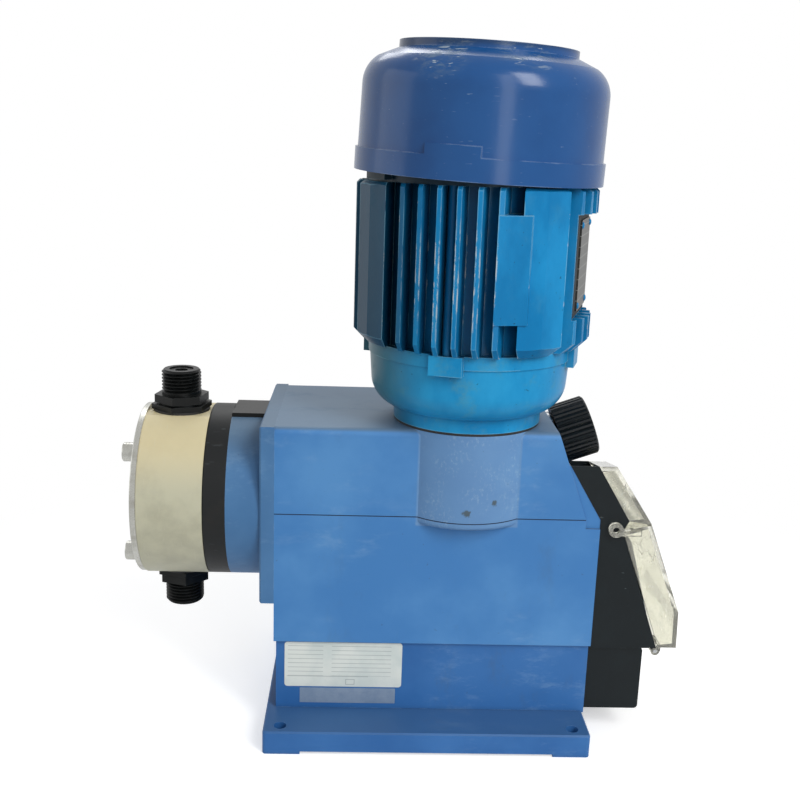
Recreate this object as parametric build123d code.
from build123d import *
from math import atan, cos, degrees, hypot, pi, radians, sin, sqrt, tan
import os

# Diaphragm metering pump with an upright motor, a worm drive and a control box.
# X runs along the pump, from the pump head (-X) to the control box (+X).
# Y = 0 is the plane of the pushrod, Z = 0 is the underside of the base plate.
# All sizes are in millimetres and degrees.

os.makedirs("parts", exist_ok=True)

# ---------------------------------------------------------------- clearances
fit_gap = 0.05             # running fit of a shaft or rod, on the radius
seat_gap = 0.02            # a seated ring, bush or bearing, on the radius
rest_gap = 0.3             # between pieces of different bodies that rest together
screw_gap = 0.3            # round a screw in its clearance hole, on the radius

# ---------------------------------------------------------------- base plate
foot_length = 169.6
foot_depth = 143.2
foot_thickness = 12.4
foot_corner = 2.0
foot_edge = 0.8
foot_hole_span_x = 152.2
foot_hole_span_y = 130.0
foot_hole_radius = 3.3
foot_relief_length = 131.0
foot_relief_depth = 1.5
pedestal_floor = 8.0

# ---------------------------------------------------------------- housings
wall = 4.0
housing_left = -81.1
housing_right = 86.4
housing_half = 48.4
pedestal_top = 51.5
pedestal_left = -79.9
pedestal_right = 85.7
pedestal_step = 2.0
tongue_height = 5.0
seam_height = 122.0
housing_top = 167.7
housing_round = 3.5
end_tilt = 20.0
end_at_seam = 78.8
rim_top = 150.6
rim_drop = 4.8
rim_inset = 1.0
cable_slot_half = 15.0
cable_slot_low = 58.0
cable_slot_high = 76.0
post_radius = 5.0
post_left = -69.0
post_right = 64.0
post_y = 38.5
post_top = 142.0
housing_bolt_radius = 2.5
housing_bolt_end = 138.0
bolt_head_radius = 4.25
bolt_head_height = 5.0

# ---------------------------------------------------------------- pump axis
drive_height = 119.6
plate_thickness = 7.5
plate_bottom = 72.8
plate_edge = 0.8
plate_screw_offset = 18.0
plate_screw_radius = 2.5
head_radius = 46.5
adapter_length = 17.7
adapter_cavity = 31.0
cap_flat = 44.0            # height of the adapter's flat above the pump axis
cap_half = 14.5
cap_thickness = 2.2
cap_opening_half = 8.0
cap_opening_margin = 3.0
ring_thickness = 11.8
ring_bore = 20.0
ring_flare = 28.0
head_thickness = 33.8
head_edge = 0.8
cover_radius = 46.0
cover_thickness = 3.0
head_screw_circle = 38.5
head_screw_radius = 3.0
head_screw_head = 5.0
head_screw_head_height = 6.0
head_screw_socket = 2.9
head_screw_socket_depth = 3.0

# ---------------------------------------------------------------- diaphragm and rod
diaphragm_radius = 34.0
diaphragm_free_radius = 24.0
diaphragm_rim = 1.9
diaphragm_pocket = 2.0
diaphragm_dome_radius = 14.0
diaphragm_dome = 2.5
dish_depth = 3.4
dish_radius = 25.0
core_radius = 13.0
core_thickness = 3.0
core_stud_radius = 4.0
rod_radius = 6.0
rod_end_gap = 6.2          # from the diaphragm rim to the end of the rod
rod_seal_radius = 11.0
rod_seal_length = 7.0
bush_radius = 9.0
bush_end = -66.0
stroke = 5.0

# ---------------------------------------------------------------- valves and unions
union_x = -135.0
union_flat = 44.0          # height of the spot face above the pump axis
union_flat_radius = 23.0
union_socket_radius = 10.5
union_inner_end = 32.2     # distance of the union's inner end from the pump axis
gasket_thickness = 1.2
gasket_radius = 15.0
lower_hex_across = 28.0
lower_hex_height = 2.8
union_groove_radius = 12.2
union_groove_height = 0.8
upper_hex_across = 25.2
upper_hex_height = 4.2
hex_turn = 19.2
thread_radius = 10.45
thread_length = 13.4
thread_chamfer = 1.2
union_bore = 3.4
union_recess_radius = 6.4
union_recess_depth = 0.8
valve_chamber_radius = 6.5
valve_chamber_end = 45.9
seat_thickness = 2.5
seat_hole = 3.2
ball_radius = 4.5
channel_radius = 3.0
channel_offset = 12.0

# ---------------------------------------------------------------- worm drive
motor_x = 17.3
motor_y = -19.5
gear_module = 1.25
wheel_teeth = 45
worm_starts = 4
worm_pitch_radius = 9.0
worm_length = 24.0
worm_half_tooth = 0.86
wheel_half_tooth = 0.80
tooth_addendum = 1.1
tooth_dedendum = 1.45
pressure_angle = 20.0
wheel_width = 10.0
wheel_rim_inner = 23.5
wheel_web = 4.0
wheel_hub_radius = 10.0
wheel_hub_width = 13.5
eccentricity = 2.5
eccentric_radius = 8.5
eccentric_bearing_radius = 17.5
eccentric_bearing_width = 10.0
shaft_radius = 6.0
shaft_journal = 5.0
small_bearing_radius = 11.0
small_bearing_width = 6.0
cheek_front = -27.0        # inner face of the front bearing cheek
cheek_rear = 11.0          # inner face of the rear bearing cheek
cheek_thickness = 6.0
frame_half = 33.0
frame_floor = 80.6
frame_floor_thickness = 6.0
frame_flange = 6.0
frame_boss_radius = 15.9
frame_inner_boss = 12.0
frame_right = 31.3
worm_seat_wall = 2.5
worm_bearing_low = 88.6
yoke_bar = 6.0
yoke_arm = 5.0
yoke_half = 5.8
yoke_gap_x = 0.5
yoke_gap_z = 1.3
spring_wire = 1.1
spring_radius = 9.6
spring_turns = 5

# ---------------------------------------------------------------- stroke adjuster
adjuster_drop = 14.4       # from the housing's top to where the adjuster leaves the slope
scale_ring_height = 2.4
scale_ring_radius = 13.5
bush_outer = 8.0
bush_inner = 5.0
bush_out = 12.0
bush_in = 12.0
bush_collar = 11.0
well_radius = 18.0
well_length = 40.0
knob_radius = 16.3
knob_length = 18.8
knob_base = 2.9
knob_flutes = 36
knob_flute_depth = 0.7
knob_edge = 1.0
spindle_out = 17.5

# ---------------------------------------------------------------- motor
motor_turn = 17.6
boss_radius = 38.4
boss_lip = 4.0
boss_lip_round = 2.5
gasket_height = 1.3
spigot_radius = 25.0
spigot_length = 3.6
flange_screw_circle = 29.8
flange_screw_radius = 2.5
flange_height = 7.7
bowl_foot = 41.5
bowl_middle_radius = 47.6
bowl_middle = 181.5
bowl_shoulder_radius = 50.6
bowl_shoulder = 190.0
rim_radius = 52.4
rim_step = 0.8
rim_low = 203.7
rim_high = 210.3
shield_cavity_radius = 45.0
shield_cavity_low = 187.0
shield_hub_radius = 21.0
lug_half = 8.2
lug_drop = 3.0
lug_radius = 55.0
tie_bolt_circle = 51.2
tie_bolt_radius = 2.5
stator_height = 78.9
casing_bore = 44.6
casing_core = 48.5
casing_tip = 60.5
casing_chamfer = 5.0
casing_top_edge = 1.6
fin_pitch = 9.3
fin_count = 6
fin_root = 3.2
fin_tip = 2.2
pad_margin_low = 16.7      # from the casing's lower end to the pads
pad_margin_high = 12.2
pad_overlap = 4.0
pad_rise = 0.8
plate_pocket_radius = 54.0
core_margin = 12.0
rotor_radius = 27.0
air_gap = 0.4
winding_height = 9.0
winding_inner = 30.0
winding_outer = 41.0
motor_bearing_radius = 16.0
motor_bearing_width = 10.0
motor_bearing_bore = 6.0
lower_bearing_low = 182.0
motor_core_shaft = 7.5
worm_shaft = 5.5
worm_end_shaft = 5.0
fan_shaft = 5.0
shaft_seal_radius = 11.0
shaft_seal_height = 6.5
back_shield_thickness = 6.0
back_shield_radius = 54.5
back_pad_radius = 58.6
back_pad_height = 9.0
back_pad_half = 9.0
fan_start = 11.3
fan_height = 20.0
fan_radius = 50.0
fan_hub = 10.0
fan_blades = 8
fan_blade = 2.0
fan_seat = 18.0             # length of the shaft's end in the fan

# ---------------------------------------------------------------- fan cowl
cowl_gap = 3.0
cowl_lean = 2.2            # the cowl sits askew: towards +X and towards -Y
cowl_nod = 1.5
cowl_skin = 1.6
cowl_band_radius = 62.0
cowl_band_height = 10.8
cowl_radius = 60.9
cowl_shoulder_radius = 60.4
cowl_shoulder = 41.0
cowl_turn_radius = 53.5
cowl_turn = 54.0
cowl_crown_radius = 43.0
cowl_crown = 58.6
cowl_lip = 61.8
cowl_lip_radius = 43.6
cowl_tab_half = 13.0
cowl_tab_height = 5.0
grille_rings = 4
grille_slots = 6
grille_slot = 3.2
grille_bar = 4.0
grille_hub = 10.0

# ---------------------------------------------------------------- motor terminal box
term_half = 33.0
term_margin_low = 18.7
term_margin_high = 14.2
term_seat = 54.5
term_depth = 26.0
term_lid = 4.0
term_wall = 3.0
term_corner = 5.0
term_screw = 1.9
gland_radius = 8.0
gland_bore = 4.2
gland_body = 9.0
gland_hex = 20.0
gland_hex_height = 5.0
gland_dome = 11.0

# ---------------------------------------------------------------- control box
box_half = 47.6
box_wall = 3.0
box_cheek = 3.0
box_top = 150.8
box_top_right = 83.6
box_fall = 26.0            # the box's top falls away to its far side by this much
box_knee = (101.5, 121.6)
box_step = (98.6, 116.2)
box_toe = (121.7, 50.6)
box_bottom = 50.0
board_thickness = 1.6
board_gap = 3.0
board_half = 36.0
board_low = 56.0
board_high = 108.0
panel_half = 37.0
panel_thickness = 1.2
panel_margin = 7.0
clear_wall = 2.0
window_top = 9.3
flap_top = (113.4, 119.6)
flap_bend = (131.8, 71.3)
flap_toe = (132.4, 50.9)
hinge_x = 121.9
hinge_z = 47.9
hinge_radius = 2.3
hinge_pin_radius = 1.0
hinge_outer = 46.0
hinge_split = 34.0
hinge_inner = 26.0
catch_x = 94.5
catch_z = 117.3
catch_radius = 3.9
catch_hole = 1.7
catch_thickness = 2.3
lower_box_right = 115.0
lower_box_low = 14.2
lower_box_half = 46.0
lower_box_round = 2.0
mains_gland_x = 100.0
mains_gland_z = 32.0

# ---------------------------------------------------------------- worked-out places
plate_left = housing_left - plate_thickness
adapter_left = plate_left - adapter_length
ring_left = adapter_left - ring_thickness
head_left = ring_left - head_thickness
cover_left = head_left - cover_thickness
wheel_pitch_radius = gear_module * wheel_teeth / 2
wheel_x = motor_x - worm_pitch_radius - wheel_pitch_radius
worm_lead = pi * gear_module * worm_starts
inner_left = housing_left + wall
inner_half = housing_half - wall
inner_top = housing_top - wall
bearing_reach = eccentricity + eccentric_bearing_radius
yoke_front = wheel_x - bearing_reach - yoke_gap_x
yoke_rear = wheel_x + bearing_reach + yoke_gap_x
yoke_opening = bearing_reach + yoke_gap_z
flange_low = housing_top + gasket_height
flange_high = flange_low + flange_height
casing_low = rim_high
casing_high = casing_low + stator_height
back_bearing_low = casing_high - 2.0
pad_low = casing_low + pad_margin_low
pad_high = casing_high - pad_margin_high
core_low = casing_low + core_margin
core_high = casing_high - core_margin
fan_low = casing_high + fan_start
fan_top_shaft = fan_low + fan_seat
cowl_low = casing_high + cowl_gap
term_low = casing_low + term_margin_low
term_high = casing_high - term_margin_high
term_gland_y = term_seat + term_depth / 2 + 1
frame_low = frame_floor + frame_floor_thickness
adjuster_height = housing_top - adjuster_drop


def slope_x(z):
    """X of the housing's sloped end face at height z."""
    return end_at_seam - (z - seam_height) * tan(radians(end_tilt))


# ---------------------------------------------------------------- helpers
def block(x, y, z):
    """Box between a low and a high value on each axis."""
    size = [pair[1] - pair[0] for pair in (x, y, z)]
    middle = [(pair[0] + pair[1]) / 2 for pair in (x, y, z)]
    return Pos(*middle) * Box(*size)


def rod_x(radius, x, y=0.0, z=0.0):
    """Cylinder along X between two X values."""
    return Pos((x[0] + x[1]) / 2, y, z) * Rot(0, 90, 0) * Cylinder(radius, x[1] - x[0])


def rod_y(radius, y, x=0.0, z=0.0):
    """Cylinder along Y between two Y values."""
    return Pos(x, (y[0] + y[1]) / 2, z) * Rot(90, 0, 0) * Cylinder(radius, y[1] - y[0])


def rod_z(radius, z, x=0.0, y=0.0):
    """Cylinder along Z between two Z values."""
    return Pos(x, y, (z[0] + z[1]) / 2) * Cylinder(radius, z[1] - z[0])


def motor_rod(radius, z):
    """Cylinder on the motor's axis."""
    return rod_z(radius, z, motor_x, motor_y)


def side_slab(points, y):
    """Prism whose (X, Z) outline runs between two Y values."""
    outline = Polyline(*[(px, y[0], pz) for px, pz in points], close=True)
    return extrude(make_face(outline), amount=y[1] - y[0], dir=(0, 1, 0))


def turned(lines):
    """Solid of revolution about Z of a closed outline in the XZ plane."""
    return revolve(make_face(lines), Axis.Z)


def turned_on_motor(points):
    """Solid of revolution about the motor's axis, from (radius, z) points."""
    return Pos(motor_x, motor_y, 0) * turned(Polyline(*[(r, 0, z) for r, z in points], close=True))


def turned_on_pump(points):
    """Solid of revolution about the pump's axis, from (x, radius) points."""
    outline = Polyline(*[(x, 0, r) for x, r in points], close=True)
    return Pos(0, 0, drive_height) * revolve(make_face(outline), Axis.X)


def four_ways(radius, start=45.0):
    """Four (a, b) places on a circle, a quarter turn apart."""
    angles = [radians(start + 90 * k) for k in range(4)]
    return [(radius * cos(a), radius * sin(a)) for a in angles]


def at_motor(piece, turn=0.0):
    """Place a piece drawn about the origin on the motor, turned with it."""
    return Pos(motor_x, motor_y, 0) * Rot(0, 0, turn - motor_turn) * piece


def ball_bearing(bore, outer, width):
    """Shielded bearing about Z, standing on Z = 0."""
    groove = 0.4
    land = 1.8
    profile = [
        (bore, 0), (bore + land, 0), (bore + land, groove), (outer - land, groove),
        (outer - land, 0), (outer, 0), (outer, width), (outer - land, width),
        (outer - land, width - groove), (bore + land, width - groove),
        (bore + land, width), (bore, width),
    ]
    return turned(Polyline(*[(r, 0, z) for r, z in profile], close=True))


def hex_prism(across, z):
    """Hexagon about the Z axis between two Z values, one corner at hex_turn."""
    corners = [radians(hex_turn + 60 * k) for k in range(6)]
    reach = across / 2 / cos(radians(30))
    outline = Polyline(*[(reach * cos(a), reach * sin(a), z[0]) for a in corners], close=True)
    return extrude(make_face(outline), amount=z[1] - z[0], dir=(0, 0, 1))


def gland():
    """Cable gland about Z, standing on Z = 0 and leaving upwards."""
    body = rod_z(gland_radius, (-gland_body, gland_dome))
    body += hex_prism(gland_hex, (0, gland_hex_height))
    dome = body.edges().filter_by(GeomType.CIRCLE).sort_by(Axis.Z)[-1]
    body = fillet(dome, 2.5)
    return body - rod_z(gland_bore, (-gland_body, gland_dome))


# ---------------------------------------------------------------- base and housings
def housing_posts():
    return [(x, y) for x in (post_left, post_right) for y in (-post_y, post_y)]


def base_plate():
    plate = block((-foot_length / 2, foot_length / 2), (-foot_depth / 2, foot_depth / 2),
                  (0, foot_thickness))
    plate = fillet(plate.edges().filter_by(Axis.Z), foot_corner)
    plate = chamfer(plate.faces().sort_by(Axis.Z)[-1].edges(), foot_edge)
    pedestal_half = housing_half - pedestal_step
    tongue_half = inner_half - seat_gap * 10
    tongue_wall = wall - 1
    plate += block((pedestal_left, pedestal_right), (-pedestal_half, pedestal_half),
                   (foot_thickness - 1, pedestal_top))
    plate += block((inner_left + seat_gap, housing_right - wall - seat_gap),
                   (-tongue_half, tongue_half), (pedestal_top - 1, pedestal_top + tongue_height))
    plate -= block((inner_left + tongue_wall, housing_right - wall - tongue_wall),
                   (-tongue_half + tongue_wall, tongue_half - tongue_wall),
                   (pedestal_floor, pedestal_top + tongue_height))
    for x, y in housing_posts():
        plate += rod_z(post_radius, (pedestal_floor - 1, pedestal_top), x, y)
    for x, y in housing_posts():
        plate -= rod_z(housing_bolt_radius + screw_gap, (0, pedestal_top), x, y)
        plate -= rod_z(bolt_head_radius + screw_gap, (0, foot_relief_depth + bolt_head_height), x, y)
        plate -= rod_z(post_radius + screw_gap, (pedestal_top, pedestal_top + tongue_height), x, y)
    plate -= block((-foot_relief_length / 2, foot_relief_length / 2),
                   (-foot_depth / 2, foot_depth / 2), (0, foot_relief_depth))
    for x in (-foot_hole_span_x / 2, foot_hole_span_x / 2):
        for y in (-foot_hole_span_y / 2, foot_hole_span_y / 2):
            plate -= rod_z(foot_hole_radius, (0, foot_thickness), x, y)
    return plate


def wall_holes(body):
    """Holes through the left wall for the gear frame's boss and its screws."""
    body -= rod_x(frame_boss_radius + fit_gap, (housing_left, inner_left), 0, drive_height)
    for y in (-plate_screw_offset, plate_screw_offset):
        for z in (-plate_screw_offset, plate_screw_offset):
            body -= rod_x(plate_screw_radius + screw_gap, (housing_left, inner_left), y,
                          drive_height + z)
    return body


def lower_housing():
    body = block((housing_left, housing_right), (-housing_half, housing_half),
                 (pedestal_top, seam_height))
    lip = motor_rod(boss_radius, (seam_height - boss_lip, seam_height))
    lip = fillet(lip.edges().filter_by(GeomType.CIRCLE).sort_by(Axis.Z)[0], boss_lip_round)
    body += lip
    body -= block((inner_left, housing_right - wall), (-inner_half, inner_half),
                  (pedestal_top, seam_height))
    for x, y in housing_posts():
        side = 1 if y > 0 else -1
        body += rod_z(post_radius, (pedestal_top, seam_height), x, y)
        body += block((x - 2, x + 2), sorted((y, side * (inner_half + 1))),
                      (pedestal_top + tongue_height + 1, seam_height))
    for x, y in housing_posts():
        body -= rod_z(housing_bolt_radius + screw_gap, (pedestal_top, seam_height), x, y)
    body -= block((end_at_seam, housing_right), (-housing_half, housing_half),
                  (seam_height - rim_drop, seam_height))
    body -= block((housing_right - wall, housing_right), (-cable_slot_half, cable_slot_half),
                  (cable_slot_low, cable_slot_high))
    return wall_holes(body)


def adjuster_place(along):
    """Location on the adjuster's axis, Z pointing out of the sloped end."""
    tilt = radians(end_tilt)
    x = slope_x(adjuster_height) + along * cos(tilt)
    z = adjuster_height + along * sin(tilt)
    return Pos(x, 0, z) * Rot(0, 90 - end_tilt, 0)


def gear_housing():
    outline = [(housing_left, seam_height), (housing_left, housing_top),
               (slope_x(housing_top), housing_top), (end_at_seam, seam_height)]
    body = side_slab(outline, (-housing_half, housing_half))
    top = body.faces().sort_by(Axis.Z)[-1].edges().filter_by(Axis.X)
    body = fillet(top, housing_round)
    body += motor_rod(boss_radius, (seam_height, housing_top))
    rim = [(slope_x(rim_top) - 2, rim_top), (slope_x(rim_top) + 0.8, rim_top),
           (housing_right, seam_height), (housing_right, seam_height - rim_drop),
           (end_at_seam + seat_gap, seam_height - rim_drop), (end_at_seam + seat_gap, seam_height),
           (end_at_seam - 2, seam_height)]
    rim_half = housing_half - rim_inset
    body += side_slab(rim, (-rim_half, rim_half))
    body -= adjuster_place(0) * rod_z(well_radius, (0, well_length))
    tilt_wall = wall / cos(radians(end_tilt))
    inside = [(inner_left, seam_height), (inner_left, inner_top),
              (slope_x(inner_top) - tilt_wall, inner_top), (end_at_seam - tilt_wall, seam_height)]
    body -= side_slab(inside, (-inner_half, inner_half))
    body -= motor_rod(boss_radius - wall, (seam_height, inner_top))
    for x, y in housing_posts():
        side = 1 if y > 0 else -1
        body += rod_z(post_radius, (seam_height, post_top), x, y)
        body += block((x - 2, x + 2), sorted((y, side * (inner_half + 1))),
                      (seam_height, post_top))
        body -= rod_z(housing_bolt_radius + seat_gap, (seam_height, housing_bolt_end + 1), x, y)
    body -= motor_rod(spigot_radius + fit_gap, (inner_top, housing_top))
    for x, y in four_ways(flange_screw_circle):
        body -= at_motor(rod_z(flange_screw_radius + screw_gap, (inner_top, housing_top), x, y))
    body -= adjuster_place(0) * rod_z(bush_outer + seat_gap, (-2 * wall, wall))
    return wall_holes(body)


def housing_bolts():
    bolts = []
    for x, y in housing_posts():
        bolt = rod_z(housing_bolt_radius, (foot_relief_depth + 1, housing_bolt_end), x, y)
        head = (foot_relief_depth, foot_relief_depth + bolt_head_height)
        bolt += rod_z(bolt_head_radius, head, x, y)
        bolts.append(bolt)
    return bolts


# ---------------------------------------------------------------- pump end
def head_screw_places():
    return four_ways(head_screw_circle)


def drill_head_screws(body, x, radius):
    for y, z in head_screw_places():
        body -= rod_x(radius, x, y, drive_height + z)
    return body


def front_plate():
    body = block((plate_left, housing_left), (-housing_half, housing_half),
                 (plate_bottom, housing_top))
    body = chamfer(body.faces().sort_by(Axis.X)[0].edges(), plate_edge)
    span = (plate_left, housing_left)
    body -= rod_x(rod_seal_radius + seat_gap, span, 0, drive_height)
    for y in (-plate_screw_offset, plate_screw_offset):
        for z in (-plate_screw_offset, plate_screw_offset):
            body -= rod_x(plate_screw_radius + screw_gap, span, y, drive_height + z)
    return drill_head_screws(body, span, head_screw_radius + seat_gap)


def plate_screws():
    screws = []
    for y in (-plate_screw_offset, plate_screw_offset):
        for z in (-plate_screw_offset, plate_screw_offset):
            screw = rod_x(plate_screw_radius, (plate_left - 1, inner_left + frame_flange - 1),
                          y, drive_height + z)
            screw += rod_x(bolt_head_radius, (plate_left - bolt_head_height, plate_left),
                           y, drive_height + z)
            screws.append(screw)
    return screws


def head_adapter():
    body = rod_x(head_radius, (adapter_left, plate_left), 0, drive_height)
    body -= rod_x(adapter_cavity, (adapter_left, plate_left), 0, drive_height)
    flat = drive_height + cap_flat
    body -= block((adapter_left, plate_left), (-head_radius, head_radius),
                  (flat, flat + head_radius))
    opening = (adapter_left + cap_opening_margin, plate_left - cap_opening_margin)
    body -= block(opening, (-cap_opening_half, cap_opening_half), (drive_height, flat))
    return drill_head_screws(body, (adapter_left, plate_left), head_screw_radius + screw_gap)


def adapter_cap():
    flat = drive_height + cap_flat
    cap = block((adapter_left + seat_gap, plate_left - seat_gap), (-cap_half, cap_half),
                (flat, flat + cap_thickness))
    plug_half = cap_opening_half - screw_gap
    plug = (adapter_left + cap_opening_margin + screw_gap, plate_left - cap_opening_margin - screw_gap)
    return cap + block(plug, (-plug_half, plug_half), (flat - 3, flat + 1))


def support_ring():
    body = turned_on_pump([
        (ring_left, ring_flare), (ring_left, head_radius - 0.6), (ring_left + 0.6, head_radius),
        (adapter_left, head_radius), (adapter_left, ring_bore),
        (ring_left + ring_thickness / 2, ring_bore),
    ])
    return drill_head_screws(body, (ring_left, adapter_left), head_screw_radius + screw_gap)


def diaphragm():
    seat = ring_left - seat_gap
    front = seat - diaphragm_rim
    dome = front - diaphragm_dome
    back = dome + diaphragm_rim + 0.3
    return turned_on_pump([
        (dome, 0), (dome, diaphragm_dome_radius), (front, diaphragm_free_radius),
        (front, diaphragm_radius), (seat, diaphragm_radius), (seat, diaphragm_free_radius),
        (back, diaphragm_dome_radius + 0.5), (back, 0),
    ])


def core_front():
    """X of the front face of the diaphragm's steel core at rest."""
    return ring_left - seat_gap - diaphragm_dome + 0.3 + fit_gap


def diaphragm_core():
    front = core_front()
    back = front + core_thickness
    body = rod_x(core_radius, (front, back), 0, drive_height)
    body = fillet(body.edges().filter_by(GeomType.CIRCLE), 0.8)
    return body + rod_x(core_stud_radius, (back - 1, ring_left + rod_end_gap), 0, drive_height)


def pump_head():
    body = rod_x(head_radius, (head_left, ring_left), 0, drive_height)
    body = fillet(body.edges().filter_by(GeomType.CIRCLE).sort_by(Axis.X)[0], head_edge)
    body -= rod_x(diaphragm_radius + seat_gap, (ring_left - diaphragm_pocket, ring_left),
                  0, drive_height)
    body -= turned_on_pump([
        (ring_left, 0), (ring_left, dish_radius), (ring_left - diaphragm_pocket, dish_radius),
        (ring_left - diaphragm_pocket - dish_depth, diaphragm_dome_radius + 2),
        (ring_left - diaphragm_pocket - dish_depth, 0),
    ])
    for side in (-1, 1):
        flat = drive_height + side * union_flat
        far = drive_height + side * (head_radius + 1)
        end = drive_height + side * union_inner_end
        axis_end = drive_height + side * (channel_offset - channel_radius)
        body -= rod_z(union_flat_radius, sorted((flat, far)), union_x, 0)
        body -= rod_z(union_socket_radius, sorted((end, flat)), union_x, 0)
        body -= rod_z(channel_radius, sorted((axis_end, end)), union_x, 0)
        body -= rod_x(channel_radius, (union_x, ring_left - diaphragm_pocket - 1), 0,
                      drive_height + side * channel_offset)
    return drill_head_screws(body, (head_left, ring_left), head_screw_radius + screw_gap)


def cover_disc():
    body = rod_x(cover_radius, (cover_left, head_left), 0, drive_height)
    body = chamfer(body.edges().filter_by(GeomType.CIRCLE).sort_by(Axis.X)[0], 0.5)
    return drill_head_screws(body, (cover_left, head_left), head_screw_radius + screw_gap)


def head_screws():
    screws = []
    for y, z in head_screw_places():
        head = rod_x(head_screw_head, (cover_left - head_screw_head_height, cover_left))
        head = chamfer(head.edges().filter_by(GeomType.CIRCLE).sort_by(Axis.X)[0], 0.5)
        socket = [radians(60 * k) for k in range(6)]
        face = cover_left - head_screw_head_height
        outline = Polyline(*[(face, head_screw_socket * cos(a), head_screw_socket * sin(a))
                             for a in socket], close=True)
        head -= extrude(make_face(outline), amount=head_screw_socket_depth, dir=(1, 0, 0))
        head += rod_x(head_screw_radius, (cover_left - 1, housing_left - 1))
        screws.append(Pos(0, y, drive_height + z) * head)
    return screws


def union_body(chamber):
    """Union about Z; z is the distance from the pump axis, outwards."""
    low_hex = union_flat + gasket_thickness
    groove = low_hex + lower_hex_height
    up_hex = groove + union_groove_height
    thread = up_hex + upper_hex_height
    end = thread + thread_length
    body = rod_z(thread_radius, (union_inner_end, end))
    body = chamfer(body.edges().filter_by(GeomType.CIRCLE).sort_by(Axis.Z)[-1], thread_chamfer)
    body += hex_prism(lower_hex_across, (low_hex, groove))
    body += rod_z(union_groove_radius, (groove - 0.5, up_hex + 0.5))
    body += hex_prism(upper_hex_across, (up_hex, thread))
    body -= rod_z(union_bore, (union_inner_end, end))
    body -= rod_z(union_recess_radius, (end - union_recess_depth, end))
    return body - rod_z(valve_chamber_radius, chamber)


def upwards(piece):
    """Place a union piece above the pump axis."""
    return Pos(union_x, 0, drive_height) * piece


def downwards(piece):
    """Place a union piece below the pump axis."""
    return Pos(union_x, 0, drive_height) * Rot(180, 0, 0) * piece


def discharge_union():
    return upwards(union_body((union_inner_end, valve_chamber_end)))


def suction_union():
    return downwards(union_body((union_inner_end, valve_chamber_end)))


def union_gaskets():
    ring = rod_z(gasket_radius, (union_flat, union_flat + gasket_thickness))
    ring -= rod_z(thread_radius + fit_gap, (union_flat, union_flat + gasket_thickness))
    return [upwards(ring), downwards(ring)]


def valve_seat(z):
    ring = rod_z(valve_chamber_radius - seat_gap, z)
    return ring - rod_z(seat_hole, z)


def valve_seats():
    top = valve_seat((union_inner_end, union_inner_end + seat_thickness))
    low = valve_seat((valve_chamber_end - seat_thickness, valve_chamber_end))
    return [upwards(top), downwards(low)]


def ball_over(seat_z):
    """Height of a ball's centre over the upper face of its seat."""
    return seat_z + sqrt(ball_radius ** 2 - seat_hole ** 2) + seat_gap


def discharge_ball():
    z = ball_over(drive_height + union_inner_end + seat_thickness)
    return Pos(union_x, 0, z) * Sphere(ball_radius)


def suction_ball():
    z = ball_over(drive_height - valve_chamber_end + seat_thickness)
    return Pos(union_x, 0, z) * Sphere(ball_radius)


# ---------------------------------------------------------------- pushrod and its frame
def rod_seal():
    body = rod_x(rod_seal_radius, (plate_left, plate_left + rod_seal_length), 0, drive_height)
    return body - rod_x(rod_radius + fit_gap, (plate_left, plate_left + rod_seal_length),
                        0, drive_height)


def guide_bush():
    body = rod_x(bush_radius, (housing_left, bush_end), 0, drive_height)
    return body - rod_x(rod_radius + fit_gap, (housing_left, bush_end), 0, drive_height)


def pushrod():
    start = ring_left + rod_end_gap
    return rod_x(rod_radius, (start, yoke_front - yoke_bar), 0, drive_height)


def stroke_frame():
    left = yoke_front - yoke_bar
    right = yoke_rear + yoke_bar
    reach = yoke_opening + yoke_arm
    span = (-yoke_half, yoke_half)
    body = block((left, right), span, (drive_height - reach, drive_height + reach))
    body = fillet(body.edges().filter_by(Axis.Y), 4.0)
    hole = block((yoke_front, yoke_rear), span,
                 (drive_height - yoke_opening, drive_height + yoke_opening))
    hole = fillet(hole.edges().filter_by(Axis.Y), 3.0)
    return body - hole


def return_spring():
    start = bush_end + fit_gap + spring_wire
    end = yoke_front - yoke_bar - fit_gap - spring_wire
    length = end - start
    coil = Helix(pitch=length / spring_turns, height=length, radius=spring_radius)
    section = (Plane(origin=coil @ 0, z_dir=coil % 0)) * Circle(spring_wire)
    wire = sweep(section, path=coil)
    return Pos(start, 0, drive_height) * Rot(0, 90, 0) * wire


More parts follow.
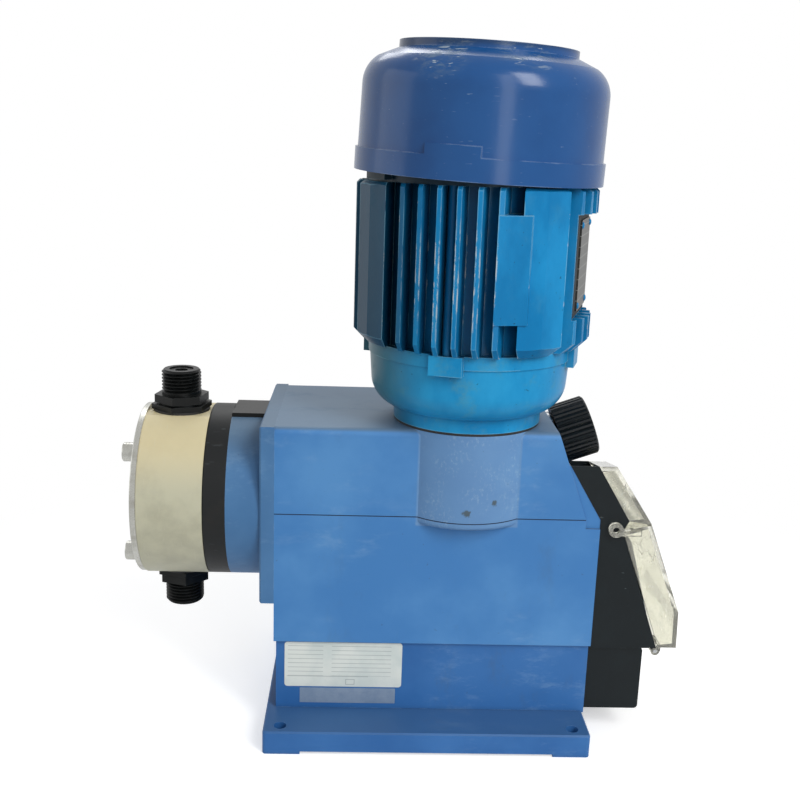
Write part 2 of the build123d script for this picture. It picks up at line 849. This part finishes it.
# ---------------------------------------------------------------- worm drive
def gear_frame():
    right = inner_left + frame_flange
    body = block((inner_left, right), (-frame_half, frame_half),
                 (frame_floor, drive_height + frame_half))
    body = fillet(body.edges().filter_by(Axis.X).sort_by(Axis.Z)[-2:], 8.0)
    rear = cheek_rear + cheek_thickness
    body += block((inner_left, frame_right), (-frame_half, rear), (frame_floor, frame_low))
    body += rod_x(frame_boss_radius, (housing_left, right), 0, drive_height)
    body += rod_x(frame_inner_boss, (housing_left, bush_end), 0, drive_height)
    boss = small_bearing_radius + wall
    foot = boss + 12
    for low in (cheek_front - cheek_thickness, cheek_rear):
        span = (low, low + cheek_thickness)
        cheek = [(wheel_x - foot, frame_low - 1), (wheel_x + foot, frame_low - 1),
                 (wheel_x + boss, drive_height), (wheel_x - boss, drive_height)]
        body += side_slab(cheek, span)
        body += rod_y(boss, span, wheel_x, drive_height)
        body -= rod_y(small_bearing_radius + seat_gap, span, wheel_x, drive_height)
    seat = small_bearing_radius + worm_seat_wall
    body += motor_rod(seat, (frame_floor, worm_bearing_low + small_bearing_width))
    body -= motor_rod(small_bearing_radius + seat_gap,
                      (worm_bearing_low, worm_bearing_low + small_bearing_width))
    body -= motor_rod(worm_end_shaft + 2, (frame_floor, worm_bearing_low))
    body -= rod_x(bush_radius + seat_gap, (housing_left, bush_end), 0, drive_height)
    for y in (-plate_screw_offset, plate_screw_offset):
        for z in (-plate_screw_offset, plate_screw_offset):
            body -= rod_x(plate_screw_radius + seat_gap, (inner_left, right), y, drive_height + z)
    return body


def worm():
    """Four-start thread: a lobed section twisted up the motor's axis."""
    slope = tan(radians(pressure_angle))
    root = worm_pitch_radius - tooth_dedendum
    tip = worm_pitch_radius + tooth_addendum
    turn = worm_lead / (2 * pi)
    root_half = (worm_half_tooth + tooth_dedendum * slope) / turn
    tip_half = (worm_half_tooth - tooth_addendum * slope) / turn
    low = drive_height - worm_length / 2
    start = pi + pi / worm_starts - worm_length / 2 / turn
    points = []
    for k in range(worm_starts):
        middle = start + 2 * pi * k / worm_starts
        for radius, angle in ((root, -root_half), (tip, -tip_half), (tip, tip_half),
                              (root, root_half)):
            points.append((radius * cos(middle + angle), radius * sin(middle + angle), low))
    section = make_face(Polyline(*points, close=True)).face()
    angle = degrees(worm_length / turn)
    thread = Solid.extrude_linear_with_rotation(section, (0, 0, low), (0, 0, worm_length), angle)
    thread = Part() + thread
    thread -= rod_z(worm_shaft + seat_gap, (low, low + worm_length))
    return Pos(motor_x, motor_y, 0) * thread


def worm_wheel():
    """Helical teeth cut to the worm's lead angle, on a hub with a thin web."""
    slope = tan(radians(pressure_angle))
    root = wheel_pitch_radius - tooth_dedendum
    tip = wheel_pitch_radius + tooth_addendum
    root_half = (wheel_half_tooth + tooth_dedendum * slope) / root
    tip_half = (wheel_half_tooth - tooth_addendum * slope) / tip
    lead_angle = atan(worm_lead / (2 * pi * worm_pitch_radius))
    twist = wheel_width * tan(lead_angle) / wheel_pitch_radius
    low = motor_y - wheel_width / 2
    points = []
    for k in range(wheel_teeth):
        middle = twist / 2 + 2 * pi * k / wheel_teeth
        for radius, angle in ((root, -root_half), (tip, -tip_half), (tip, tip_half),
                              (root, root_half)):
            points.append((radius * cos(middle + angle), low, radius * sin(middle + angle)))
    section = make_face(Polyline(*points, close=True)).face()
    body = Solid.extrude_linear_with_rotation(section, (0, low, 0), (0, wheel_width, 0),
                                              degrees(twist))
    body = Part() + body
    high = low + wheel_width
    web = (wheel_width - wheel_web) / 2
    for span in ((low, low + web), (high - web, high)):
        body -= rod_y(wheel_rim_inner, span) - rod_y(wheel_hub_radius, span)
    hub = (motor_y - wheel_hub_width / 2, motor_y + wheel_hub_width / 2)
    body += rod_y(wheel_hub_radius, hub)
    body -= rod_y(shaft_radius + seat_gap, hub)
    return Pos(wheel_x, 0, drive_height) * body


def eccentric_shaft():
    hub_low = motor_y - wheel_hub_width / 2
    hub_high = motor_y + wheel_hub_width / 2
    half = eccentric_bearing_width / 2
    front = cheek_front - cheek_thickness - 2
    rear = cheek_rear + cheek_thickness + 2
    body = rod_y(shaft_journal, (front, rear))
    body += rod_y(shaft_radius, (hub_low, hub_high))
    body += rod_y(shaft_radius + 3, (hub_high, -half - 1))
    body += rod_y(eccentric_radius, (-half - 1, half), eccentricity)
    return Pos(wheel_x, 0, drive_height) * body


def eccentric_bearing():
    body = ball_bearing(eccentric_radius + seat_gap, eccentric_bearing_radius,
                        eccentric_bearing_width)
    place = Pos(wheel_x + eccentricity, -eccentric_bearing_width / 2, drive_height)
    return place * Rot(-90, 0, 0) * body


def shaft_bearings():
    body = ball_bearing(shaft_journal + fit_gap, small_bearing_radius, small_bearing_width)
    turned_over = Rot(-90, 0, 0) * body
    return [Pos(wheel_x, low, drive_height) * turned_over
            for low in (cheek_front - cheek_thickness, cheek_rear)]


def worm_bearing():
    body = ball_bearing(worm_end_shaft + fit_gap, small_bearing_radius, small_bearing_width)
    return Pos(motor_x, motor_y, worm_bearing_low) * body


# ---------------------------------------------------------------- stroke adjuster
def scale_ring():
    body = rod_z(scale_ring_radius, (0, scale_ring_height))
    body = chamfer(body.edges().filter_by(GeomType.CIRCLE).sort_by(Axis.Z)[-1], 0.8)
    body -= rod_z(bush_outer + seat_gap, (0, scale_ring_height))
    return adjuster_place(0) * body


def spindle_bush():
    body = rod_z(bush_outer, (-bush_in, bush_out))
    body += rod_z(bush_collar, (-bush_in, -wall - 1))
    body -= rod_z(bush_inner + fit_gap, (-bush_in, bush_out))
    return adjuster_place(0) * body


def stroke_knob():
    root = knob_radius - knob_flute_depth
    points = []
    for k in range(knob_flutes):
        for share, radius in ((0.0, root), (0.3, knob_radius), (0.7, knob_radius)):
            angle = 2 * pi * (k + share) / knob_flutes
            points.append((radius * cos(angle), radius * sin(angle), knob_base))
    body = extrude(make_face(Polyline(*points, close=True)), amount=knob_length, dir=(0, 0, 1))
    end = knob_base + knob_length
    crown = turned(Polyline((0, 0, knob_base), (knob_radius, 0, knob_base),
                            (knob_radius, 0, end - knob_edge), (knob_radius - knob_edge, 0, end),
                            (0, 0, end), close=True))
    body = body & crown
    body -= rod_z(bush_outer + fit_gap, (knob_base, bush_out + rest_gap))
    body -= rod_z(bush_inner + fit_gap, (knob_base, spindle_out + rest_gap))
    return adjuster_place(0) * body


def stop_spindle():
    """Round-ended pin that stops the stroke frame on its way back."""
    tilt = radians(end_tilt)
    stop = yoke_rear + yoke_bar + stroke + rest_gap + bush_inner
    tip = (stop - slope_x(adjuster_height)) / cos(tilt)
    body = rod_z(bush_inner, (tip, spindle_out))
    body += Pos(0, 0, tip) * Sphere(bush_inner)
    return adjuster_place(0) * body


# ---------------------------------------------------------------- motor
def motor_gasket():
    body = motor_rod(boss_radius - 0.4, (housing_top, flange_low))
    body -= motor_rod(spigot_radius + fit_gap, (housing_top, flange_low))
    for x, y in four_ways(flange_screw_circle):
        body -= at_motor(rod_z(flange_screw_radius + screw_gap, (housing_top, flange_low), x, y))
    return body


def drive_end_shield():
    bowl = ThreePointArc((bowl_foot, 0, flange_high), (bowl_middle_radius, 0, bowl_middle),
                         (bowl_shoulder_radius, 0, bowl_shoulder))
    ring = Polyline((bowl_shoulder_radius, 0, bowl_shoulder), (rim_radius - rim_step, 0, rim_low),
                    (rim_radius, 0, rim_low), (rim_radius, 0, rim_high), (0, 0, rim_high),
                    (0, 0, flange_low - spigot_length), (spigot_radius, 0, flange_low - spigot_length),
                    (spigot_radius, 0, flange_low), (boss_radius, 0, flange_low),
                    (boss_radius, 0, flange_high), (bowl_foot, 0, flange_high))
    body = turned(bowl + ring)
    for k in range(4):
        lug = block((-lug_half, lug_half), (-lug_radius, -shield_cavity_radius - 1),
                    (rim_low - lug_drop, rim_high))
        body += Rot(0, 0, 90 * k) * lug
    cavity = rod_z(shield_cavity_radius, (shield_cavity_low, rim_high))
    cavity -= rod_z(shield_hub_radius, (shield_cavity_low, lower_bearing_low + motor_bearing_width))
    body -= cavity
    body -= rod_z(motor_bearing_radius + seat_gap, (lower_bearing_low, rim_high))
    seal_low = flange_low - spigot_length
    body -= rod_z(shaft_seal_radius + seat_gap, (seal_low, seal_low + shaft_seal_height))
    body -= rod_z(motor_bearing_bore + 3, (seal_low, rim_high))
    for x, y in four_ways(flange_screw_circle):
        body -= rod_z(flange_screw_radius + seat_gap, (flange_low, flange_low + 10), x, y)
    for x, y in four_ways(tie_bolt_circle, 0):
        body -= rod_z(tie_bolt_radius + seat_gap, (rim_low, rim_high), x, y)
    return at_motor(body)


def flange_screws():
    screws = []
    for x, y in four_ways(flange_screw_circle):
        screw = rod_z(flange_screw_radius, (inner_top - 1, flange_low + 9), x, y)
        screw += rod_z(bolt_head_radius, (inner_top - bolt_head_height, inner_top), x, y)
        screws.append(at_motor(screw))
    return screws


def shaft_seal():
    low = flange_low - spigot_length
    body = motor_rod(shaft_seal_radius, (low, low + shaft_seal_height))
    return body - motor_rod(worm_shaft + fit_gap, (low, low + shaft_seal_height))


def fin_section():
    """Quarter of the casing's outline: parallel fins and half a corner block."""
    fins = []
    for k in range(fin_count):
        s = (k - (fin_count - 1) / 2) * fin_pitch
        fins.append(Polyline((s - fin_root / 2, -casing_bore + 5), (s - fin_tip / 2, -casing_tip),
                             (s + fin_tip / 2, -casing_tip), (s + fin_root / 2, -casing_bore + 5),
                             close=True))
    edge = (fin_count + 1) / 2 * fin_pitch
    out = sqrt(casing_tip ** 2 - edge ** 2)
    corner = casing_tip * cos(radians(45))
    half = Polyline((edge, -casing_bore + 14), (edge, -out), (corner, -corner), (out, -edge),
                    (casing_bore - 14, -edge), close=True)
    return fins, half


def motor_housing():
    fins, corner = fin_section()
    tip_circle = Circle(casing_tip)
    section = Sketch() + Circle(casing_core)
    for turn in range(4):
        for fin in fins:
            section += Rot(0, 0, 90 * turn) * (make_face(fin) & tip_circle)
        section += Rot(0, 0, 90 * turn) * make_face(corner)
    section -= Circle(casing_bore)
    body = extrude(Pos(0, 0, casing_low) * section, amount=stator_height)
    cone = turned(Polyline((0, 0, casing_low), (casing_tip - casing_chamfer, 0, casing_low),
                           (casing_tip, 0, casing_low + casing_chamfer),
                           (casing_tip, 0, casing_high - casing_top_edge),
                           (casing_tip - casing_top_edge, 0, casing_high),
                           (0, 0, casing_high), close=True))
    body = body & cone
    last_fin = (fin_count - 1) / 2 * fin_pitch
    left = last_fin - fin_tip / 2
    right = last_fin + fin_pitch + pad_overlap
    reach = casing_tip + pad_rise
    pad = Polyline((left, -sqrt(reach ** 2 - left ** 2), pad_low),
                   (right, -sqrt(reach ** 2 - right ** 2), pad_low),
                   (right, -casing_core + 12, pad_low), (left, -casing_core + 12, pad_low),
                   close=True)
    body += extrude(make_face(pad), amount=pad_high - pad_low, dir=(0, 0, 1))
    body -= block((plate_pocket_radius, casing_tip), (-last_fin - 1.5, last_fin + 1.5),
                  (pad_low, pad_high))
    body += block((casing_core - 2, plate_pocket_radius), (-last_fin, last_fin),
                  (pad_low, pad_high))
    body -= block((-term_half - seat_gap, term_half + seat_gap), (term_seat, casing_tip),
                  (term_low - seat_gap, term_high + seat_gap))
    body += block((-term_half + 2, term_half - 2), (casing_core - 12, term_seat),
                  (term_low, term_high))
    body -= rod_z(casing_bore, (casing_low, casing_high))
    for x, y in four_ways(tie_bolt_circle, 0):
        body -= rod_z(tie_bolt_radius + seat_gap, (casing_low, casing_high), x, y)
    return at_motor(body)


def stator_core():
    span = (core_low, core_high)
    return motor_rod(casing_bore - seat_gap, span) - motor_rod(rotor_radius + air_gap, span)


def windings():
    rings = []
    for low in (core_low - winding_height, core_high):
        ring = motor_rod(winding_outer, (low, low + winding_height))
        ring = fillet(ring.edges().filter_by(GeomType.CIRCLE), 2.5)
        rings.append(ring - motor_rod(winding_inner, (low, low + winding_height)))
    return rings


def motor_shaft():
    lower_top = lower_bearing_low + motor_bearing_width
    upper_top = back_bearing_low + motor_bearing_width
    return turned_on_motor([
        (0, worm_bearing_low - 1), (worm_end_shaft, worm_bearing_low - 1),
        (worm_end_shaft, worm_bearing_low + small_bearing_width + 1),
        (worm_shaft, worm_bearing_low + small_bearing_width + 1),
        (worm_shaft, lower_bearing_low - 2), (motor_bearing_bore, lower_bearing_low - 2),
        (motor_bearing_bore, lower_top + 1), (motor_core_shaft, lower_top + 1),
        (motor_core_shaft, back_bearing_low - 1), (motor_bearing_bore, back_bearing_low - 1),
        (motor_bearing_bore, upper_top + 1), (fan_shaft, upper_top + 1),
        (fan_shaft, fan_top_shaft), (0, fan_top_shaft),
    ])


def rotor_core():
    span = (core_low, core_high)
    return motor_rod(rotor_radius, span) - motor_rod(motor_core_shaft + seat_gap, span)


def motor_bearings():
    body = ball_bearing(motor_bearing_bore + fit_gap, motor_bearing_radius, motor_bearing_width)
    return [Pos(motor_x, motor_y, low) * body for low in (lower_bearing_low, back_bearing_low)]


def fan_end_shield():
    high = casing_high + back_shield_thickness
    body = rod_z(back_shield_radius, (casing_high, high))
    for k in range(4):
        span = (casing_high + 1, casing_high + 1 + back_pad_height)
        pad = block((-back_pad_half, back_pad_half), (-back_pad_radius, -back_shield_radius + 2), span)
        body += Rot(0, 0, 90 * k + 45) * (pad & rod_z(back_pad_radius, span))
    body += rod_z(motor_bearing_radius + 4, (back_bearing_low - 1, high + 4))
    body -= rod_z(motor_bearing_radius + seat_gap,
                  (back_bearing_low, back_bearing_low + motor_bearing_width))
    body -= rod_z(motor_bearing_bore + 2, (back_bearing_low - 1, high + 4))
    for x, y in four_ways(tie_bolt_circle, 0):
        body -= rod_z(tie_bolt_radius + seat_gap, (casing_high, high), x, y)
    return at_motor(body)


def tie_bolts():
    bolts = []
    top = casing_high + back_shield_thickness
    for x, y in four_ways(tie_bolt_circle, 0):
        bolt = rod_z(tie_bolt_radius, (rim_low + 0.5, top), x, y)
        bolt += rod_z(bolt_head_radius, (top, top + 3.5), x, y)
        bolts.append(at_motor(bolt))
    return bolts


def fan():
    high = fan_low + fan_height
    body = rod_z(fan_radius, (fan_low, fan_low + fan_blade))
    body += rod_z(fan_hub, (fan_low, high))
    for k in range(fan_blades):
        blade = block((fan_hub - 1, fan_radius), (-fan_blade / 2, fan_blade / 2), (fan_low, high))
        body += Rot(0, 0, 360 * k / fan_blades) * blade
    body = body & turned(Polyline((0, 0, fan_low), (fan_radius, 0, fan_low),
                                  (fan_radius, 0, fan_low + 8), (fan_radius - 14, 0, high),
                                  (0, 0, high), close=True))
    body -= rod_z(fan_shaft + seat_gap, (fan_low, high))
    return at_motor(body)


def cowl_outline(inset):
    """Half section of the cowl, moved inwards by the thickness of its skin."""
    side = Polyline((0, 0, 0), (cowl_radius - inset, 0, 0),
                    (cowl_shoulder_radius - inset, 0, cowl_shoulder))
    turn = ThreePointArc(
        (cowl_shoulder_radius - inset, 0, cowl_shoulder),
        (cowl_shoulder_radius - inset - 1.9, 0, cowl_shoulder + 7.5 - inset / 2),
        (cowl_turn_radius, 0, cowl_turn - inset))
    top = Polyline((cowl_turn_radius, 0, cowl_turn - inset),
                   (cowl_crown_radius - inset, 0, cowl_crown - inset),
                   (0, 0, cowl_crown - inset), (0, 0, 0))
    return turned(side + turn + top)


def fan_cowl():
    body = cowl_outline(0)
    band = rod_z(cowl_band_radius, (0, cowl_band_height))
    tab = rod_z(cowl_band_radius, (0, cowl_band_height + cowl_tab_height))
    tab = tab & block((-cowl_tab_half, cowl_tab_half), (-cowl_band_radius, 0),
                      (0, cowl_band_height + cowl_tab_height))
    body += band + tab
    body += rod_z(cowl_lip_radius, (cowl_crown - 1, cowl_lip))
    body -= rod_z(cowl_lip_radius - cowl_skin, (cowl_crown - cowl_skin + 0.6, cowl_lip))
    body -= cowl_outline(cowl_skin)
    deck = (cowl_crown - 3 * cowl_skin, cowl_lip)
    for ring in range(grille_rings):
        inner = grille_hub + ring * (grille_slot + grille_bar)
        slot = rod_z(inner + grille_slot, deck) - rod_z(inner, deck)
        for k in range(grille_slots // 2):
            slot -= Rot(0, 0, 360 * k / grille_slots + 15 * ring) * block(
                (-fan_radius, fan_radius), (-grille_bar / 2, grille_bar / 2), deck)
        body -= slot
    lean = Rot(cowl_nod, cowl_lean, 0)
    return Pos(motor_x, motor_y, cowl_low) * lean * Rot(0, 0, -motor_turn) * body


# ---------------------------------------------------------------- motor terminal box
def motor_terminal_box():
    back = term_seat + term_depth
    body = block((-term_half, term_half), (term_seat, back), (term_low, term_high))
    body = fillet(body.edges().filter_by(Axis.Y), term_corner)
    body -= block((-term_half + term_wall, term_half - term_wall), (term_seat + term_wall, back),
                  (term_low + term_wall, term_high - term_wall))
    for x, z in terminal_corners():
        body += rod_y(term_screw + 1.5, (term_seat + 1, back), x, z)
        body -= rod_y(term_screw + seat_gap, (back - 9, back), x, z)
    body -= rod_x(gland_radius + seat_gap, (-term_half - 1, -term_half + term_wall + 1),
                  term_gland_y, (term_low + term_high) / 2)
    return at_motor(body)


def terminal_corners():
    x = term_half - term_wall - 1.5
    low = term_low + term_wall + 1.5
    high = term_high - term_wall - 1.5
    return [(side * x, z) for side in (-1, 1) for z in (low, high)]


def terminal_lid():
    back = term_seat + term_depth
    body = block((-term_half, term_half), (back, back + term_lid), (term_low, term_high))
    body = fillet(body.edges().filter_by(Axis.Y), term_corner)
    body = chamfer(body.faces().sort_by(Axis.Y)[-1].edges(), 1.0)
    for x, z in terminal_corners():
        body -= rod_y(term_screw + screw_gap, (back, back + term_lid), x, z)
    return at_motor(body)


def lid_screws():
    back = term_seat + term_depth
    screws = []
    for x, z in terminal_corners():
        screw = rod_y(term_screw, (back - 8, back + term_lid), x, z)
        screw += rod_y(term_screw + 1.4, (back + term_lid, back + term_lid + 1.6), x, z)
        screws.append(at_motor(screw))
    return screws


def motor_gland():
    place = Pos(-term_half, term_gland_y, (term_low + term_high) / 2) * Rot(0, -90, 0)
    return at_motor(place * gland())


# ---------------------------------------------------------------- control side
def offset_outline(points, distance):
    """Outline moved inwards by a distance, corner by corner; points run clockwise."""
    moved = []
    count = len(points)
    for k in range(count):
        before = points[k - 1]
        here = points[k]
        after = points[(k + 1) % count]
        a = (here[0] - before[0], here[1] - before[1])
        b = (after[0] - here[0], after[1] - here[1])
        la = hypot(*a)
        lb = hypot(*b)
        normal_a = (a[1] / la, -a[0] / la)
        normal_b = (b[1] / lb, -b[0] / lb)
        scale = distance / (1 + normal_a[0] * normal_b[0] + normal_a[1] * normal_b[1])
        moved.append((here[0] + (normal_a[0] + normal_b[0]) * scale,
                      here[1] + (normal_a[1] + normal_b[1]) * scale))
    return moved


def above_box(inset=0.0):
    """Space over the control box: its top falls away from the near side to the far side."""
    near = box_top - inset
    left = slope_x(rim_top)
    outline = Polyline((left, -box_half, near), (left, box_half, near - box_fall),
                       (left, box_half, box_top + 10), (left, -box_half, box_top + 10), close=True)
    return extrude(make_face(outline), amount=flap_bend[0] - left, dir=(1, 0, 0))


def control_box():
    """Closed box for the electronics, with a cheek standing up on either side of the knob."""
    outline = [(housing_right, box_bottom), (housing_right, seam_height), box_knee, box_step,
               box_toe]
    cheek = [(housing_right, seam_height), (slope_x(rim_top) + 0.8, rim_top),
             (box_top_right, box_top), box_knee, (box_knee[0] - 2, seam_height - box_wall),
             (housing_right, seam_height - box_wall)]
    body = side_slab(outline, (-box_half, box_half))
    body += side_slab(cheek, (-box_half, -box_half + box_cheek))
    body += side_slab(cheek, (box_half - box_cheek, box_half))
    body -= above_box()
    body -= side_slab(offset_outline(outline, box_wall),
                      (-box_half + box_wall, box_half - box_wall))
    back = housing_right + box_wall
    for y in (-board_half + 4, board_half - 4):
        for z in (board_low + 4, board_high - 4):
            body += rod_x(2.5, (back - 1, back + board_gap), y, z)
    body -= block((housing_right, back), (-cable_slot_half, cable_slot_half),
                  (cable_slot_low, cable_slot_high))
    for span in hinge_lugs():
        body += rod_y(hinge_radius, span, hinge_x, hinge_z)
        body += block((hinge_x - hinge_radius, box_toe[0] - 0.4), span, (hinge_z, box_bottom + 1))
        body -= rod_y(hinge_pin_radius + seat_gap, span, hinge_x, hinge_z)
    return body


def hinge_lugs():
    """Y spans of the control box's two hinge lugs."""
    return [(-hinge_split + rest_gap, -hinge_inner), (hinge_inner, hinge_split - rest_gap)]


def circuit_board():
    low = housing_right + box_wall + board_gap
    body = block((low, low + board_thickness), (-board_half, board_half), (board_low, board_high))
    body += block((low + 1, low + 8), (-20, -2), (board_low + 12, board_low + 34))
    return body + block((low + 1, low + 6), (8, 26), (board_low + 20, board_low + 30))


def along_face(start, end, margin_low, margin_high, height):
    """Four (X, Z) corners of a plate lying on the face from start to end."""
    dx = end[0] - start[0]
    dz = end[1] - start[1]
    length = hypot(dx, dz)
    ux, uz = dx / length, dz / length
    nx, nz = -uz, ux
    first = (start[0] + ux * margin_low, start[1] + uz * margin_low)
    last = (end[0] - ux * margin_high, end[1] - uz * margin_high)
    return [first, last, (last[0] + nx * height, last[1] + nz * height),
            (first[0] + nx * height, first[1] + nz * height)]


def control_panel():
    corners = along_face(box_step, box_toe, panel_margin, panel_margin, panel_thickness)
    return side_slab(corners, (-panel_half, panel_half))


def clear_forms(outline):
    """Outer form and hollow of a thin clear cover, open at its first edge, the one on the box."""
    outer = side_slab(outline, (-box_half, box_half))
    inner = offset_outline(outline, clear_wall)
    ax = outline[1][0] - outline[0][0]
    az = outline[1][1] - outline[0][1]
    length = hypot(ax, az)
    back = (-az / length * 2 * clear_wall, ax / length * 2 * clear_wall)
    opened = [(inner[0][0] + back[0], inner[0][1] + back[1]),
              (inner[1][0] + back[0], inner[1][1] + back[1])] + inner[2:]
    inside = box_half - clear_wall
    return outer, side_slab(opened, (-inside, inside))


def fixed_window():
    outline = [box_knee, (box_top_right, box_top), (box_top_right + window_top, box_top),
               (flap_top[0], flap_top[1] + rest_gap)]
    outer, hollow = clear_forms(outline)
    body = (outer - above_box()) - (hollow - above_box(clear_wall))
    return body - adjuster_place(0) * rod_z(well_radius, (0, well_length))


def cover_flap():
    toe = (box_toe[0] + 1.2, box_bottom + 0.9)
    step = (box_step[0] + rest_gap, box_step[1] - 0.2)
    outline = [toe, step, flap_top, flap_bend, flap_toe]
    outer, hollow = clear_forms(outline)
    body = outer - hollow
    for side in (-1, 1):
        arm = sorted((side * (box_half - clear_wall), side * (box_half + rest_gap + catch_thickness)))
        ear = sorted((side * (box_half + rest_gap), side * (box_half + rest_gap + catch_thickness)))
        body += block((step[0] + 3.4, step[0] + 9), arm, (catch_z - 3, catch_z))
        body += block((catch_x, step[0] + 9), ear, (catch_z - 3, catch_z))
        body += rod_y(catch_radius, ear, catch_x, catch_z)
        body -= rod_y(catch_hole, ear, catch_x, catch_z)
        barrel = sorted((side * hinge_split, side * hinge_outer))
        body += rod_y(hinge_radius, barrel, hinge_x, hinge_z)
        body += block((hinge_x, hinge_x + hinge_radius + 0.4), barrel, (hinge_z, toe[1] + 1))
        body -= rod_y(hinge_pin_radius + fit_gap, barrel, hinge_x, hinge_z)
    return body


def hinge_pins():
    return [rod_y(hinge_pin_radius, span, hinge_x, hinge_z)
            for span in ((-hinge_outer, -hinge_inner), (hinge_inner, hinge_outer))]


def connection_box():
    body = block((pedestal_right, lower_box_right), (-lower_box_half, lower_box_half),
                 (lower_box_low, box_bottom))
    body = fillet(body.edges().filter_by(Axis.Y).group_by(Axis.X)[-1], lower_box_round)
    body -= block((pedestal_right, lower_box_right - box_wall),
                  (-lower_box_half + box_wall, lower_box_half - box_wall),
                  (lower_box_low + box_wall, box_bottom - box_wall))
    body -= rod_y(gland_radius + seat_gap, (lower_box_half - box_wall - 1, lower_box_half),
                  mains_gland_x, mains_gland_z)
    return body


def mains_gland():
    return Pos(mains_gland_x, lower_box_half, mains_gland_z) * Rot(-90, 0, 0) * gland()


def lip_seals():
    return [rod_seal(), shaft_seal()]


def cable_glands():
    return [motor_gland(), mains_gland()]


# ---------------------------------------------------------------- all pieces
pieces = [
    base_plate, lower_housing, gear_housing, housing_bolts, front_plate, plate_screws,
    head_adapter, adapter_cap, support_ring, diaphragm, diaphragm_core, pump_head, cover_disc,
    head_screws, discharge_union, suction_union, union_gaskets, valve_seats, discharge_ball,
    suction_ball, lip_seals, guide_bush, pushrod, stroke_frame, return_spring, gear_frame, worm,
    worm_wheel, eccentric_shaft, eccentric_bearing, shaft_bearings, worm_bearing, scale_ring,
    spindle_bush, stroke_knob, stop_spindle, motor_gasket, drive_end_shield, flange_screws,
    motor_housing, stator_core, windings, motor_shaft, rotor_core, motor_bearings,
    fan_end_shield, tie_bolts, fan, fan_cowl, motor_terminal_box, terminal_lid, lid_screws,
    cable_glands, control_box, circuit_board, control_panel, fixed_window, cover_flap,
    hinge_pins, connection_box,
]

for make in pieces:
    shape = make()
    if isinstance(shape, list):
        shape = Compound(children=[Part() + piece for piece in shape])
    export_step(shape, f"parts/{make.__name__}.step")
    print(make.__name__)
